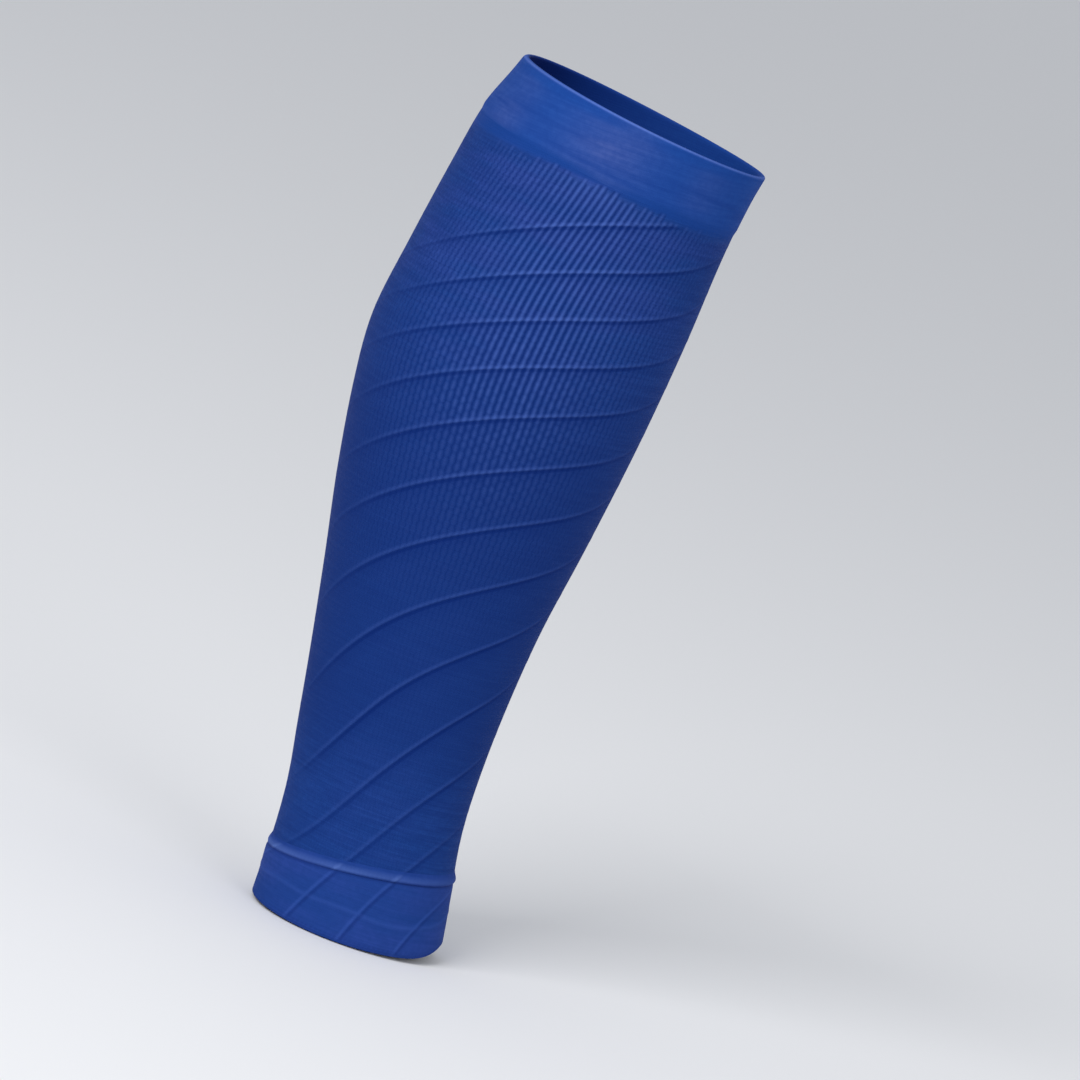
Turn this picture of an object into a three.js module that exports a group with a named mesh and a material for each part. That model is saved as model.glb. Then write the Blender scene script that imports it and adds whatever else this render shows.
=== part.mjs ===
// Calf compression sleeve, in the form that it has on a leg. Millimetres, +Z up the leg.
// The origin is the middle of the ankle opening, on the leg's axis.
// The shin faces +X, the calf muscle -X, and Y runs across the leg.
import * as THREE from "three";
import { mergeVertices } from "three/addons/utils/BufferGeometryUtils.js";

// Driving dimensions
const SLEEVE_LENGTH = 332; // from the ankle hem to the knee rim, along the leg's axis
const KNEE_DEPTH = 103; // front to back, at the knee rim
const KNEE_WIDTH = 99; // across
const CALF_DEPTH = 113.5; // front to back, where the muscle is fullest
const CALF_WIDTH = 106;
const ANKLE_DEPTH = 70.5; // front to back, where the leg is thinnest
const ANKLE_WIDTH = 60;

const BAND_HEIGHT = 26; // the doubled welt below the knee
const BAND_WALL = 2.4;
const BAND_PROUD = 0.4; // how far it stands out from the knit below it
const LEG_WALL = 1.5; // the single knit of the leg
const CUFF_HEIGHT = 24.7; // the doubled hem at the ankle, up to the fold line
const CUFF_WALL = 2.1;
const CUFF_PROUD = 0.3;
const FOLD_HEIGHT = 4.6; // the rolled line above the cuff
const FOLD_PROUD = 1.2;

const KNEE_SLANT = 6.5; // degrees that the rim and the band drop to the shin
const KNEE_DIP = 0.5; // how far the rim dips at both sides of the leg
const FOLD_SLANT = 7.8; // degrees that the fold line rises to the shin
const FOLD_RISE = 0.8; // how far the fold line rises at both sides of the leg
const HEM_SLANT = 1; // degrees that the hem rises to the shin
const HEM_DIP = 1.5; // how far the hem dips at both sides of the leg
const HEM_SHIN_LIFT = 4.5; // the hem turns up over the instep

const RIDGE_STARTS = 7; // spiral ridges side by side, climbing round the leg
const RIDGE_WIDTH = 2.6;
const RIDGE_PROUD = 0.5;
const CUFF_RIDGE_PROUD = 0.3; // the same ridges, pressed flatter in the cuff
const RIDGE_SPACING_CALF = 19.5; // up the leg, from ridge to ridge, on the calf and above it
const RIDGE_SPACING_SHANK = 36; // the same where the leg is thin and the knit is less stretched
const RIDGE_SPACING_ANKLE = 27.2; // the same at the fold and in the cuff

const JOIN_CLEARANCE = 0.3; // between two pieces that meet

// Where each spacing of the ridges holds, and how they sway on the calf and at the ankle,
// where they lie flatter on two sides and steeper between them. Heights are shares of the length.
const RIDGE_SPACINGS = [
  { up: 0.09, spacing: RIDGE_SPACING_ANKLE },
  { up: 0.271, spacing: RIDGE_SPACING_SHANK },
  { up: 0.723, spacing: RIDGE_SPACING_CALF },
].map(({ up, spacing }) => ({ height: up * SLEEVE_LENGTH, dense: 1 / spacing }));
const CALF_SWAY = { share: 0.181, from: 0.12, to: 0.669 };
const ANKLE_SWAY = { share: 0.347, from: 0.03, to: 0.46 };
const RIDGE_START_TURN = 0.93;

// Fineness of the faceted walls
const COLUMNS = 48;
const LEG_INNER_ROWS = 12;
const SHORT_INNER_ROWS = 3;
const ROUND_STEPS = 4;

const ANKLE = { depth: ANKLE_DEPTH, width: ANKLE_WIDTH };
const CALF = { depth: CALF_DEPTH, width: CALF_WIDTH };
const KNEE = { depth: KNEE_DEPTH, width: KNEE_WIDTH };

// The leg's sections. up: share of the length. of: the measure that the row follows.
// shin and back: reach in front of and behind the leg's axis, as shares of that depth.
// across: share of that width. egg: how much fuller the back half is than the front.
const SECTIONS = [
  { up: -0.03, of: ANKLE, shin: 0.548, back: 0.536, across: 1.1, egg: 0.02 },
  { up: 0.0, of: ANKLE, shin: 0.545, back: 0.536, across: 1.08, egg: 0.02 },
  { up: 0.08, of: ANKLE, shin: 0.482, back: 0.545, across: 1.033, egg: 0.02 },
  { up: 0.14, of: ANKLE, shin: 0.433, back: 0.57, across: 1.0, egg: 0.02 },
  { up: 0.2, of: ANKLE, shin: 0.414, back: 0.621, across: 1.025, egg: 0.03 },
  { up: 0.29, of: ANKLE, shin: 0.416, back: 0.698, across: 1.125, egg: 0.06 },
  { up: 0.397, of: CALF, shin: 0.278, back: 0.495, across: 0.741, egg: 0.09 },
  { up: 0.502, of: CALF, shin: 0.319, back: 0.559, across: 0.863, egg: 0.11 },
  { up: 0.608, of: CALF, shin: 0.356, back: 0.609, across: 0.962, egg: 0.12 },
  { up: 0.683, of: CALF, shin: 0.377, back: 0.625, across: 1.0, egg: 0.12 },
  { up: 0.773, of: CALF, shin: 0.396, back: 0.594, across: 0.991, egg: 0.11 },
  { up: 0.879, of: KNEE, shin: 0.452, back: 0.605, across: 1.035, egg: 0.09 },
  { up: 0.948, of: KNEE, shin: 0.474, back: 0.566, across: 1.01, egg: 0.075 },
  { up: 1.0, of: KNEE, shin: 0.503, back: 0.505, across: 1.0, egg: 0.07 },
  { up: 1.03, of: KNEE, shin: 0.511, back: 0.472, across: 0.995, egg: 0.07 },
].map(({ up, of, shin, back, across, egg }) => ({
  height: up * SLEEVE_LENGTH,
  shin: shin * of.depth,
  back: back * of.depth,
  side: (across * of.width) / 2,
  egg,
}));

const radians = THREE.MathUtils.degToRad;
const clamp = THREE.MathUtils.clamp;
const smoothstep = THREE.MathUtils.smoothstep;

// A column of the section table at any height, smooth from row to row.
function sectionValue(column, height) {
  const rows = SECTIONS;
  let i = 0;
  while (i < rows.length - 2 && height > rows[i + 1].height) i += 1;
  const slope = (k) => {
    const low = rows[Math.max(k - 1, 0)];
    const high = rows[Math.min(k + 1, rows.length - 1)];
    return (high[column] - low[column]) / (high.height - low.height);
  };
  const span = rows[i + 1].height - rows[i].height;
  const t = clamp((height - rows[i].height) / span, 0, 1);
  const rise = rows[i + 1][column] - rows[i][column];
  const start = slope(i) * span;
  const end = slope(i + 1) * span;
  return rows[i][column] + t * (start + t * (3 * rise - 2 * start - end + t * (start + end - 2 * rise)));
}

// A point of the leg's form at a height and an angle round it, moved outwards.
function onLeg(height, angle, outwards = 0) {
  const shin = sectionValue("shin", height);
  const back = sectionValue("back", height);
  const side = sectionValue("side", height);
  const egg = sectionValue("egg", height);
  const depth = (shin + back) / 2;
  const [c, s] = [Math.cos(angle), Math.sin(angle)];
  const along = new THREE.Vector2(-depth * s, side * (c - egg * Math.cos(2 * angle))).normalize();
  return new THREE.Vector3(
    (shin - back) / 2 + depth * c + outwards * along.y,
    side * s * (1 - egg * c) - outwards * along.x,
    height,
  );
}

// The lines where the pieces meet, as heights round the leg
function slantedLine(height, degrees, angle) {
  return height + Math.tan(radians(degrees)) * onLeg(height, angle).x;
}

function kneeRim(angle) {
  return slantedLine(SLEEVE_LENGTH, -KNEE_SLANT, angle) - KNEE_DIP * Math.sin(angle) ** 2;
}

function bandEdge(angle) {
  return slantedLine(SLEEVE_LENGTH - BAND_HEIGHT, -KNEE_SLANT, angle);
}

function foldTop(angle) {
  return cuffTop(angle) + FOLD_HEIGHT;
}

function cuffTop(angle) {
  return slantedLine(CUFF_HEIGHT, FOLD_SLANT, angle) + FOLD_RISE * Math.sin(angle) ** 2;
}

function hem(angle) {
  const lift = HEM_SHIN_LIFT * Math.max(0, Math.cos(angle)) ** 10;
  return slantedLine(0, HEM_SLANT, angle) + lift - HEM_DIP * Math.sin(angle) ** 2;
}

// Ridges passed on the way up the leg, with a spacing that changes from level to level
function ridgesBelow(height) {
  const [lowest] = RIDGE_SPACINGS;
  let count = Math.min(height, lowest.height) * lowest.dense;
  RIDGE_SPACINGS.forEach(({ height: from, dense }, i) => {
    const next = RIDGE_SPACINGS[i + 1];
    const step = Math.max(0, Math.min(height, next ? next.height : Infinity) - from);
    const growth = next ? (next.dense - dense) / (next.height - from) : 0;
    count += step * (dense + (growth * step) / 2);
  });
  return count;
}

function sway(height, angle) {
  const share = ({ from, to }) => smoothstep(height, from * SLEEVE_LENGTH, to * SLEEVE_LENGTH);
  const calf = CALF_SWAY.share * share(CALF_SWAY) * Math.cos(2 * angle);
  const ankle = ANKLE_SWAY.share * (1 - share(ANKLE_SWAY)) * Math.sin(2 * angle);
  return calf + ankle;
}

// The height of ridge number n at an angle, by halving: the count only grows upwards.
function ridgeHeight(n, angle) {
  const target = (RIDGE_STARTS * angle) / (2 * Math.PI) - n - RIDGE_START_TURN;
  let low = -SLEEVE_LENGTH;
  let high = 2 * SLEEVE_LENGTH;
  for (let i = 0; i < 40; i += 1) {
    const middle = (low + high) / 2;
    if (ridgesBelow(middle) + sway(middle, angle) < target) low = middle;
    else high = middle;
  }
  return low;
}

// Every ridge that reaches the stretch of leg between two heights, numbered downwards
function ridgeNumbers(low, high) {
  const top = Math.ceil(-ridgesBelow(low) + RIDGE_STARTS) + 1;
  const bottom = Math.floor(-ridgesBelow(high)) - 2;
  return Array.from({ length: top - bottom + 1 }, (_, i) => top - i);
}

// One column of the ribbed wall, from below: the foot, crown and foot of each ridge
// and the knit half way to the next, each cut off at the piece's lower and upper line.
function ridgedColumn(angle, low, high, numbers, knit, proud) {
  const step = 0.01;
  const marks = [];
  for (const n of numbers) {
    const crown = ridgeHeight(n, angle);
    const climb = (ridgeHeight(n, angle + step) - crown) / step;
    const round = onLeg(clamp(crown, low, high), angle + step).sub(onLeg(clamp(crown, low, high), angle));
    const reach = round.setZ(0).length() / step;
    const half = (RIDGE_WIDTH / 2) * Math.hypot(1, climb / reach);
    const next = ridgeHeight(n - 1, angle);
    marks.push({ height: crown - half, out: knit });
    marks.push({ height: crown, out: knit + proud });
    marks.push({ height: crown + half, out: knit });
    marks.push({ height: (crown + next) / 2, out: knit });
  }
  const outAt = (height) => {
    const i = marks.findIndex((mark) => mark.height >= height);
    const share = (height - marks[i - 1].height) / (marks[i].height - marks[i - 1].height);
    return THREE.MathUtils.lerp(marks[i - 1].out, marks[i].out, share);
  };
  return marks.map(({ height, out }) => {
    if (height > low && height < high) return { height, out };
    const edge = clamp(height, low, high);
    return { height: edge, out: outAt(edge) };
  });
}

function evenRows(from, to, out, rows) {
  return Array.from({ length: rows + 1 }, (_, i) => ({
    height: THREE.MathUtils.lerp(from, to, i / rows),
    out,
  }));
}

// A wall's folded edge: half a round from one face to the other, bulging up or down
function foldedEdge(height, outFrom, outTo, direction) {
  const radius = Math.abs(outFrom - outTo) / 2;
  return Array.from({ length: ROUND_STEPS - 1 }, (_, i) => {
    const turn = (Math.PI * (i + 1)) / ROUND_STEPS;
    return {
      height: height + direction * radius * Math.sin(turn),
      out: (outFrom + outTo) / 2 + ((outFrom - outTo) / 2) * Math.cos(turn),
    };
  });
}

// A closed ring round the leg. The profile gives, for an angle, the closed outline of the
// wall as the same number of points: up the outside, over the top and down the inside.
function ringGeometry(profile) {
  const columns = Array.from({ length: COLUMNS + 1 }, (_, i) => {
    const angle = (2 * Math.PI * i) / COLUMNS;
    return profile(angle).map(({ height, out }) => onLeg(height, angle, out));
  });
  const positions = [];
  const addTriangle = (...corners) => corners.forEach((p) => positions.push(p.x, p.y, p.z));
  for (let i = 0; i < COLUMNS; i += 1) {
    const [left, right] = [columns[i], columns[i + 1]];
    for (let j = 0; j < left.length; j += 1) {
      const k = (j + 1) % left.length;
      addTriangle(left[j], right[j], right[k]);
      addTriangle(left[j], right[k], left[k]);
    }
  }
  const loose = new THREE.BufferGeometry();
  loose.setAttribute("position", new THREE.Float32BufferAttribute(positions, 3));
  const geometry = mergeVertices(loose, 1e-3);
  const index = geometry.index.array;
  const kept = [];
  for (let i = 0; i < index.length; i += 3) {
    const [a, b, c] = [index[i], index[i + 1], index[i + 2]];
    if (a !== b && b !== c && c !== a) kept.push(a, b, c);
  }
  geometry.setIndex(kept);
  geometry.computeVertexNormals();
  return geometry;
}

function piece(name, geometry, colour, roughness) {
  const material = new THREE.MeshStandardMaterial({ color: colour, roughness, metalness: 0 });
  const mesh = new THREE.Mesh(geometry, material);
  mesh.name = name;
  return mesh;
}

const HALF_CLEARANCE = JOIN_CLEARANCE / 2;

// Knee band: a doubled welt whose folded edge is the rim
function kneeBand() {
  const outer = BAND_PROUD;
  const inner = BAND_PROUD - BAND_WALL;
  const geometry = ringGeometry((angle) => {
    const low = bandEdge(angle) + HALF_CLEARANCE;
    const high = kneeRim(angle) - BAND_WALL / 2;
    return [
      ...evenRows(low, high, outer, SHORT_INNER_ROWS),
      ...foldedEdge(high, outer, inner, 1),
      ...evenRows(high, low, inner, SHORT_INNER_ROWS),
    ];
  });
  return piece("knee_band", geometry, 0x31509c, 0.75);
}

// Leg tube: the ribbed knit with its spiral ridges
function legTube() {
  const numbers = ridgeNumbers(0, SLEEVE_LENGTH);
  const geometry = ringGeometry((angle) => {
    const low = foldTop(angle) + HALF_CLEARANCE;
    const high = bandEdge(angle) - HALF_CLEARANCE;
    return [
      ...ridgedColumn(angle, low, high, numbers, 0, RIDGE_PROUD),
      ...evenRows(high, low, -LEG_WALL, LEG_INNER_ROWS),
    ];
  });
  return piece("leg_tube", geometry, 0x203e85, 0.85);
}

// Ankle fold: the rolled line where the cuff is turned and caught
function ankleFold() {
  const geometry = ringGeometry((angle) => {
    const low = cuffTop(angle) + HALF_CLEARANCE;
    const high = foldTop(angle) - HALF_CLEARANCE;
    const roll = evenRows(low, high, 0, 2 * ROUND_STEPS).map(({ height }, i, rows) => ({
      height,
      out: FOLD_PROUD * Math.sin((Math.PI * i) / (rows.length - 1)),
    }));
    return [...roll, ...evenRows(high, low, -LEG_WALL, 1)];
  });
  return piece("ankle_fold", geometry, 0x2b4a99, 0.8);
}

// Ankle cuff: a doubled hem whose folded edge is the ankle opening
function ankleCuff() {
  const numbers = ridgeNumbers(-CUFF_HEIGHT, 2 * CUFF_HEIGHT);
  const inner = CUFF_PROUD - CUFF_WALL;
  const geometry = ringGeometry((angle) => {
    const low = hem(angle) + CUFF_WALL / 2;
    const high = cuffTop(angle) - HALF_CLEARANCE;
    const wall = ridgedColumn(angle, low, high, numbers, CUFF_PROUD, CUFF_RIDGE_PROUD);
    return [
      ...wall,
      ...evenRows(high, low, inner, SHORT_INNER_ROWS),
      ...foldedEdge(low, inner, wall[0].out, -1),
    ];
  });
  return piece("ankle_cuff", geometry, 0x223f88, 0.8);
}

const sleeve = new THREE.Group();
sleeve.name = "calf_compression_sleeve";
sleeve.add(kneeBand(), legTube(), ankleFold(), ankleCuff());

export default sleeve;
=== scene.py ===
import math

import bpy
import numpy as np
from mathutils import Matrix, Vector


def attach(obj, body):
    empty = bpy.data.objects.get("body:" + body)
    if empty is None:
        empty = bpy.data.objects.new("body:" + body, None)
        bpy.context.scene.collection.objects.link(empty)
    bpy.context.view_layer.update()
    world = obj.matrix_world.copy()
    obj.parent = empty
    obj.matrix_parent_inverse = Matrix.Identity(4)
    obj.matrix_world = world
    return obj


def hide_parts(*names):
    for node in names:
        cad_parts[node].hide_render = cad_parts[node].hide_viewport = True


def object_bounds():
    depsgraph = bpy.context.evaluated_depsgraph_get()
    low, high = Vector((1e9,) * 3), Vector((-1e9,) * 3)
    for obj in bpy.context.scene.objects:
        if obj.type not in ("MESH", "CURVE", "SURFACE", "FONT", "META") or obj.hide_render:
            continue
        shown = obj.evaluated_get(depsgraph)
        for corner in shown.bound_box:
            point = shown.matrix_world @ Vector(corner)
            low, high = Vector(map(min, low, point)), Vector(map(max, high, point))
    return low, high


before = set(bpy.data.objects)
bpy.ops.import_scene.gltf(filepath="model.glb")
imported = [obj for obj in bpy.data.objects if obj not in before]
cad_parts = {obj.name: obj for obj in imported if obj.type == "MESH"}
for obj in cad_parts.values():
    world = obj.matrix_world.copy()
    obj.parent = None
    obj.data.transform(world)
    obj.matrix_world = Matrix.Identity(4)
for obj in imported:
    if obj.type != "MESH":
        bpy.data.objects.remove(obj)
cad_low, cad_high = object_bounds()
bpy.ops.object.select_all(action="DESELECT")


# The camera
# It looks at the outer side of a left calf from a little above, through a long lens. The sleeve
# stands upright in its own frame, so the camera is rolled to show it leaning as in the picture.
VIEW_DISTANCE = 2.441
VIEW_ELEVATION = math.radians(8.4)
VIEW_ROLL = math.radians(20.43)
VIEW_CENTRE = Vector((0.01893, 0.0, 0.16607))
LENS_MM = 213.3
SENSOR_MM = 36
VIEW_END = 60

bpy.ops.object.camera_add()
camera = bpy.context.object
turned = Matrix.Rotation(math.pi / 2 - VIEW_ELEVATION, 4, "X") @ Matrix.Rotation(VIEW_ROLL, 4, "Z")
camera.matrix_world = Matrix.Translation(VIEW_CENTRE + VIEW_DISTANCE * turned.col[2].xyz) @ turned
camera.data.sensor_width = SENSOR_MM
camera.data.lens = LENS_MM
camera.data.clip_end = VIEW_END
bpy.context.scene.camera = camera


# The floor and the light
# A plain pale floor just under the hem, wide enough to fill the picture. The light is a soft box
# high at the left and in front, a weaker one at the right, and an even pale sky.
FLOOR_RADIUS = 18
FLOOR_SIDES = 96
FLOOR_GAP = 0.0003
FLOOR_GREY = (0.84, 0.84, 0.85, 1)
FLOOR_ROUGHNESS = 0.9
FLOOR_SPECULAR = 0.1
SKY = (0.92, 0.95, 1.0, 1)
SKY_STRENGTH = 0.62

bpy.ops.mesh.primitive_circle_add(
    vertices=FLOOR_SIDES, radius=FLOOR_RADIUS, fill_type="NGON", location=(0, 0, cad_low.z - FLOOR_GAP)
)
floor = bpy.context.object
floor.name = "floor"
floor_paint = bpy.data.materials.new("floor_paint")
floor_paint.use_nodes = True
floor_shader = floor_paint.node_tree.nodes["Principled BSDF"]
floor_shader.inputs["Base Color"].default_value = FLOOR_GREY
floor_shader.inputs["Roughness"].default_value = FLOOR_ROUGHNESS
floor_shader.inputs["Specular IOR Level"].default_value = FLOOR_SPECULAR
floor.data.materials.append(floor_paint)

sky = bpy.data.worlds.new("sky")
sky.use_nodes = True
sky.node_tree.nodes["Background"].inputs["Color"].default_value = SKY
sky.node_tree.nodes["Background"].inputs["Strength"].default_value = SKY_STRENGTH
bpy.context.scene.world = sky
bpy.context.scene.view_settings.view_transform = "Standard"


def soft_box(name, place, side, power):
    """A square lamp that faces the middle of the sleeve."""
    bpy.ops.object.light_add(type="AREA", location=place)
    lamp = bpy.context.object
    lamp.name = name
    lamp.data.shape = "SQUARE"
    lamp.data.size = side
    lamp.data.energy = power
    lamp.rotation_euler = (VIEW_CENTRE - Vector(place)).to_track_quat("-Z", "Y").to_euler()


soft_box("key_light", place=(-1.45, -2.35, 2.1), side=1.6, power=68)
soft_box("fill_light", place=(1.6, -2.4, 1.2), side=1.6, power=18)


# The leg tube
# The single knit that covers the calf: fine upright ribs, crossed by seven raised spiral ridges of
# tuck stitches. Nylon and elastane, knitted as one tube and stretched on a leg. It is a flat panel
# turned round the leg's form, with its rows laid along the ridges, and sewn shut at the shin.
SLEEVE_LENGTH = 0.332
KNEE_DEPTH = 0.103
KNEE_WIDTH = 0.099
CALF_DEPTH = 0.1135
CALF_WIDTH = 0.106
ANKLE_DEPTH = 0.0705
ANKLE_WIDTH = 0.060
BAND_HEIGHT = 0.026
CUFF_HEIGHT = 0.0247
FOLD_HEIGHT = 0.0046
FOLD_RISE = 0.0008
KNEE_SLANT = 6.5
FOLD_SLANT = 7.8
TUCK = 0.0004
LEG_WALL = 0.0015
ANKLE = (ANKLE_DEPTH, ANKLE_WIDTH)
CALF = (CALF_DEPTH, CALF_WIDTH)
KNEE = (KNEE_DEPTH, KNEE_WIDTH)

# Columns: share of the length, the measure followed, reach to the shin and to the back as shares
# of its depth, share of its width, and how much fuller the back half is than the front.
LEG_SECTIONS = (
    (-0.03, ANKLE, 0.548, 0.536, 1.1, 0.02),
    (0.0, ANKLE, 0.545, 0.536, 1.08, 0.02),
    (0.08, ANKLE, 0.482, 0.545, 1.033, 0.02),
    (0.14, ANKLE, 0.433, 0.57, 1.0, 0.02),
    (0.2, ANKLE, 0.414, 0.621, 1.025, 0.03),
    (0.29, ANKLE, 0.416, 0.698, 1.125, 0.06),
    (0.397, CALF, 0.278, 0.495, 0.741, 0.09),
    (0.502, CALF, 0.319, 0.559, 0.863, 0.11),
    (0.608, CALF, 0.356, 0.609, 0.962, 0.12),
    (0.683, CALF, 0.377, 0.625, 1.0, 0.12),
    (0.773, CALF, 0.396, 0.594, 0.991, 0.11),
    (0.879, KNEE, 0.452, 0.605, 1.035, 0.09),
    (0.948, KNEE, 0.474, 0.566, 1.01, 0.075),
    (1.0, KNEE, 0.503, 0.505, 1.0, 0.07),
    (1.03, KNEE, 0.511, 0.472, 0.995, 0.07),
)
levels = np.array([up * SLEEVE_LENGTH for up, *_ in LEG_SECTIONS])
sections = np.array(
    [
        (shin * of[0], back * of[0], across * of[1] / 2, egg)
        for _, of, shin, back, across, egg in LEG_SECTIONS
    ]
)


def leg_section(height):
    """Reach to the shin, to the back and to each side, and the fullness, smooth between levels."""
    before = np.clip(np.arange(len(levels)) - 1, 0, None)
    after = np.clip(np.arange(len(levels)) + 1, None, len(levels) - 1)
    slopes = (sections[after] - sections[before]) / (levels[after] - levels[before])[:, None]
    row = np.clip(np.searchsorted(levels, height) - 1, 0, len(levels) - 2)
    span = levels[row + 1] - levels[row]
    t = np.clip((height - levels[row]) / span, 0, 1)[..., None]
    span = span[..., None]
    rise = sections[row + 1] - sections[row]
    start = slopes[row] * span
    end = slopes[row + 1] * span
    curve = start + t * (3 * rise - 2 * start - end + t * (start + end - 2 * rise))
    return np.moveaxis(sections[row] + t * curve, -1, 0)


def on_leg(height, angle, out=0.0):
    """Points of the leg's form. Angle 0 is the shin, a quarter turn is +Y. out is moved outwards."""
    shin, back, side, egg = leg_section(height)
    depth = (shin + back) / 2
    along_x = -depth * np.sin(angle)
    along_y = side * (np.cos(angle) - egg * np.cos(2 * angle))
    reach = np.hypot(along_x, along_y)
    x = (shin - back) / 2 + depth * np.cos(angle) + out * along_y / reach
    y = side * np.sin(angle) * (1 - egg * np.cos(angle)) - out * along_x / reach
    return np.stack([x, y, height + 0 * x], -1), reach


def slanted(height, degrees, angle):
    """A level line that rises or drops towards the shin."""
    place, _ = on_leg(np.full(np.shape(angle), height), angle)
    return height + math.tan(math.radians(degrees)) * place[..., 0]


def band_edge(angle):
    return slanted(SLEEVE_LENGTH - BAND_HEIGHT, -KNEE_SLANT, angle)


def cuff_top(angle):
    return slanted(CUFF_HEIGHT, FOLD_SLANT, angle) + FOLD_RISE * np.sin(angle) ** 2


def fold_top(angle):
    return cuff_top(angle) + FOLD_HEIGHT


def ease(value, start, end):
    """0 before start, 1 after end, and smooth between them."""
    t = np.clip((value - start) / (end - start), 0, 1)
    return t * t * (3 - 2 * t)


def hill(value, middle, width):
    """1 in the middle, falling smoothly to 0 on both sides of it."""
    return np.exp(-(((value - middle) / width) ** 2))


def graph(points, at):
    """Reads a small graph: pairs of a place and a value, with straight lines between them."""
    places, values = zip(*points)
    return np.interp(at, places, values)


def round_leg(points, angle):
    """Reads a graph whose places lie round the leg: -1 is the calf muscle, 0 a flank, 1 the shin."""
    return graph(points, np.cos(angle))


# How the ridges lie: heights, with the spacing up the leg from ridge to ridge there, and two sways
# that lay them flatter on two sides of the leg and steeper between them.
RIDGE_STARTS = 7
RIDGE_START_TURN = 1.2077
RIDGE_SPACINGS = (
    (0.0, 0.055),
    (0.09 * SLEEVE_LENGTH, 0.0272),
    (0.271 * SLEEVE_LENGTH, 0.036),
    (0.723 * SLEEVE_LENGTH, 0.0195),
    (2 * SLEEVE_LENGTH, 0.0195),
)
CALF_SWAY = 0.181
CALF_SWAY_FROM = 0.12 * SLEEVE_LENGTH
CALF_SWAY_TO = 0.669 * SLEEVE_LENGTH
ANKLE_SWAY = 0.347
ANKLE_SWAY_FROM = 0.03 * SLEEVE_LENGTH
ANKLE_SWAY_TO = 0.46 * SLEEVE_LENGTH
HALVINGS = 32
SMALL_TURN = 0.01


def ridges_passed(height, angle):
    """How many ridges lie below a height, counted up the leg at one angle."""
    count = np.minimum(height, 0.0) / RIDGE_SPACINGS[0][1]
    for (level, spacing), (next_level, next_spacing) in zip(RIDGE_SPACINGS, RIDGE_SPACINGS[1:]):
        stretch = next_level - level
        growth = (1 / next_spacing - 1 / spacing) / stretch
        step = np.clip(height - level, 0, stretch)
        count = count + step * (1 / spacing + growth * step / 2)
    calf = CALF_SWAY * ease(height, CALF_SWAY_FROM, CALF_SWAY_TO) * np.cos(2 * angle)
    ankle = ANKLE_SWAY * (1 - ease(height, ANKLE_SWAY_FROM, ANKLE_SWAY_TO)) * np.sin(2 * angle)
    return count + calf + ankle


def ridge_height(number, angle):
    """Where ridge number crosses an angle, found by halving."""
    wanted = RIDGE_STARTS * angle / (2 * np.pi) - number - RIDGE_START_TURN
    low = np.full(np.shape(wanted), -SLEEVE_LENGTH)
    high = np.full(np.shape(wanted), 2 * SLEEVE_LENGTH)
    for _ in range(HALVINGS):
        middle = (low + high) / 2
        under = ridges_passed(middle, angle) < wanted
        low = np.where(under, middle, low)
        high = np.where(under, high, middle)
    return low


def steepness(number, angle):
    """How much longer a ridge's width is when it is measured up the leg."""
    here = ridge_height(number, angle)
    climb = (ridge_height(number, angle + SMALL_TURN) - here) / SMALL_TURN
    _, reach = on_leg(np.clip(here, 0, SLEEVE_LENGTH), angle)
    return np.hypot(1, climb / reach)


def ridge_distance(height, angle):
    """Distance above the nearest ridge's crown, square to the ridge."""
    number = np.rint(RIDGE_STARTS * angle / (2 * np.pi) - RIDGE_START_TURN - ridges_passed(height, angle))
    return (height - ridge_height(number, angle)) / steepness(number, angle)


# A ridge's profile, from the groove under it up over its crown: distance and height. The ridges are
# pulled flat over the shin and the calf muscle and stand out on the flanks. They end under the band,
# and on the outer flank the uppermost one fades out well before it. They are softer at the ankle.
RIDGE_PROFILE = (
    (-0.0022, 0.0),
    (-0.0016, -0.00003),
    (-0.0011, -0.0001),
    (-0.0007, -0.00006),
    (-0.00035, 0.00008),
    (0.0, 0.00018),
    (0.00045, 0.00014),
    (0.0009, 0.00005),
    (0.0014, 0.0),
)
RIDGE_ROUND_LEG = ((-1, 0.15), (-0.88, 0.32), (-0.6, 0.85), (-0.4, 1), (0.7, 1), (0.92, 0.5), (1, 0.3))
RIDGE_END_OUTER = (
    (-0.95, 0.046),
    (-0.8, 0.036),
    (-0.6, 0.027),
    (-0.4, 0.019),
    (-0.2, 0.012),
    (0, 0.008),
    (0.3, 0.004),
    (0.6, 0.001),
)
RIDGE_END_FAR = 0.004
RIDGE_END_EASE = 0.003
OUTER_FLANK = (-0.2, 0.4)
RIDGE_AFTER_END = 0.15
RIDGE_AT_ANKLE = 0.6
ABOVE_ANKLE = (0.035, 0.09)


def ridge_strength(angle):
    return round_leg(RIDGE_ROUND_LEG, angle)


def clear_of_band(height, angle):
    """1 where a ridge is whole, and little where it has ended under the band."""
    outer_flank = ease(-np.sin(angle), *OUTER_FLANK)
    end = RIDGE_END_FAR + (round_leg(RIDGE_END_OUTER, angle) - RIDGE_END_FAR) * outer_flank
    whole = ease(band_edge(angle) - height, end - RIDGE_END_EASE, end + RIDGE_END_EASE)
    return RIDGE_AFTER_END + (1 - RIDGE_AFTER_END) * whole


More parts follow.
